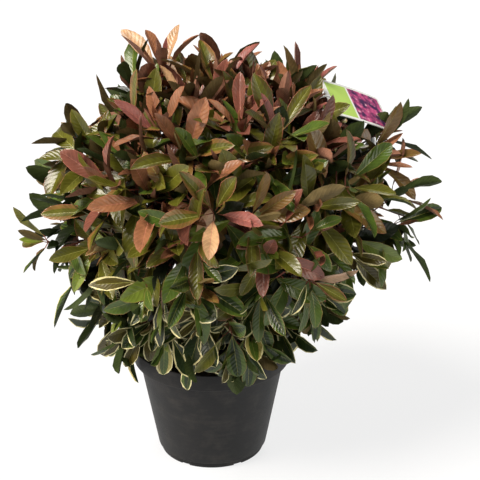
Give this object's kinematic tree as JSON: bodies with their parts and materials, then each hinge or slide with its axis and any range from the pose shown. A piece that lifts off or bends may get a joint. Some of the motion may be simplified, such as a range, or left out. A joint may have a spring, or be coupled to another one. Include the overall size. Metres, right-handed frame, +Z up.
{
  "type": "potted red tip photinia",
  "caption": "A bushy evergreen shrub in a grey nursery pot, its round crown of glossy leaves bronze and red at the top, green lower down, and pale-edged where it hangs over the rim.",
  "frame": {"origin": "the middle of the pot's flat underside, where it stands on the floor", "axes": "+Z is up, and the picture is taken from the -Y side with +X to its right"},
  "size_m": [0.6182, 0.5594, 0.628],
  "materials": {
    "pot": "matte moulded",
    "soil": "loose and damp",
    "bark": "rough",
    "young_leaves": "glossy leaf",
    "bronze_leaves": "glossy leaf",
    "green_leaves": "glossy leaf",
    "edged_leaves": "glossy leaf with a cream edge",
    "label": "printed plastic card"
  },
  "bodies": {
    "root": {"bough_shoulder_1": "bark", "bough_shoulder_2": "bark", "bough_shoulder_3": "bark", "bough_shoulder_4": "bark", "bough_shoulder_5": "bark", "bough_shoulder_6": "bark", "bough_shoulder_7": "bark", "bough_skirt_1": "bark", "bough_skirt_2": "bark", "bough_skirt_3": "bark", "bough_skirt_4": "bark", "bough_skirt_5": "bark", "bough_skirt_6": "bark", "bough_top_1": "bark", "bough_top_2": "bark", "bough_top_3": "bark", "bough_top_4": "bark", "bough_top_5": "bark", "bough_waist_1": "bark", "bough_waist_2": "bark", "bough_waist_3": "bark", "bough_waist_4": "bark", "bough_waist_5": "bark", "bough_waist_6": "bark", "bough_waist_7": "bark", "foliage_crown_1": "young_leaves", "foliage_shoulder_1": "bronze_leaves", "foliage_shoulder_2": "bronze_leaves", "foliage_shoulder_3": "bronze_leaves", "foliage_shoulder_4": "bronze_leaves", "foliage_shoulder_5": "bronze_leaves", "foliage_shoulder_6": "bronze_leaves", "foliage_shoulder_7": "bronze_leaves", "foliage_skirt_1": "edged_leaves", "foliage_skirt_2": "edged_leaves", "foliage_skirt_3": "edged_leaves", "foliage_skirt_4": "edged_leaves", "foliage_skirt_5": "edged_leaves", "foliage_skirt_6": "edged_leaves", "foliage_top_1": "young_leaves", "foliage_top_2": "young_leaves", "foliage_top_3": "young_leaves", "foliage_top_4": "young_leaves", "foliage_top_5": "young_leaves", "foliage_waist_1": "green_leaves", "foliage_waist_2": "green_leaves", "foliage_waist_3": "green_leaves", "foliage_waist_4": "green_leaves", "foliage_waist_5": "green_leaves", "foliage_waist_6": "green_leaves", "foliage_waist_7": "green_leaves", "leader": "bark", "plant_label": "label", "pot": "pot", "soil": "soil", "trunk": "bark"}
  },
  "joints": []
}
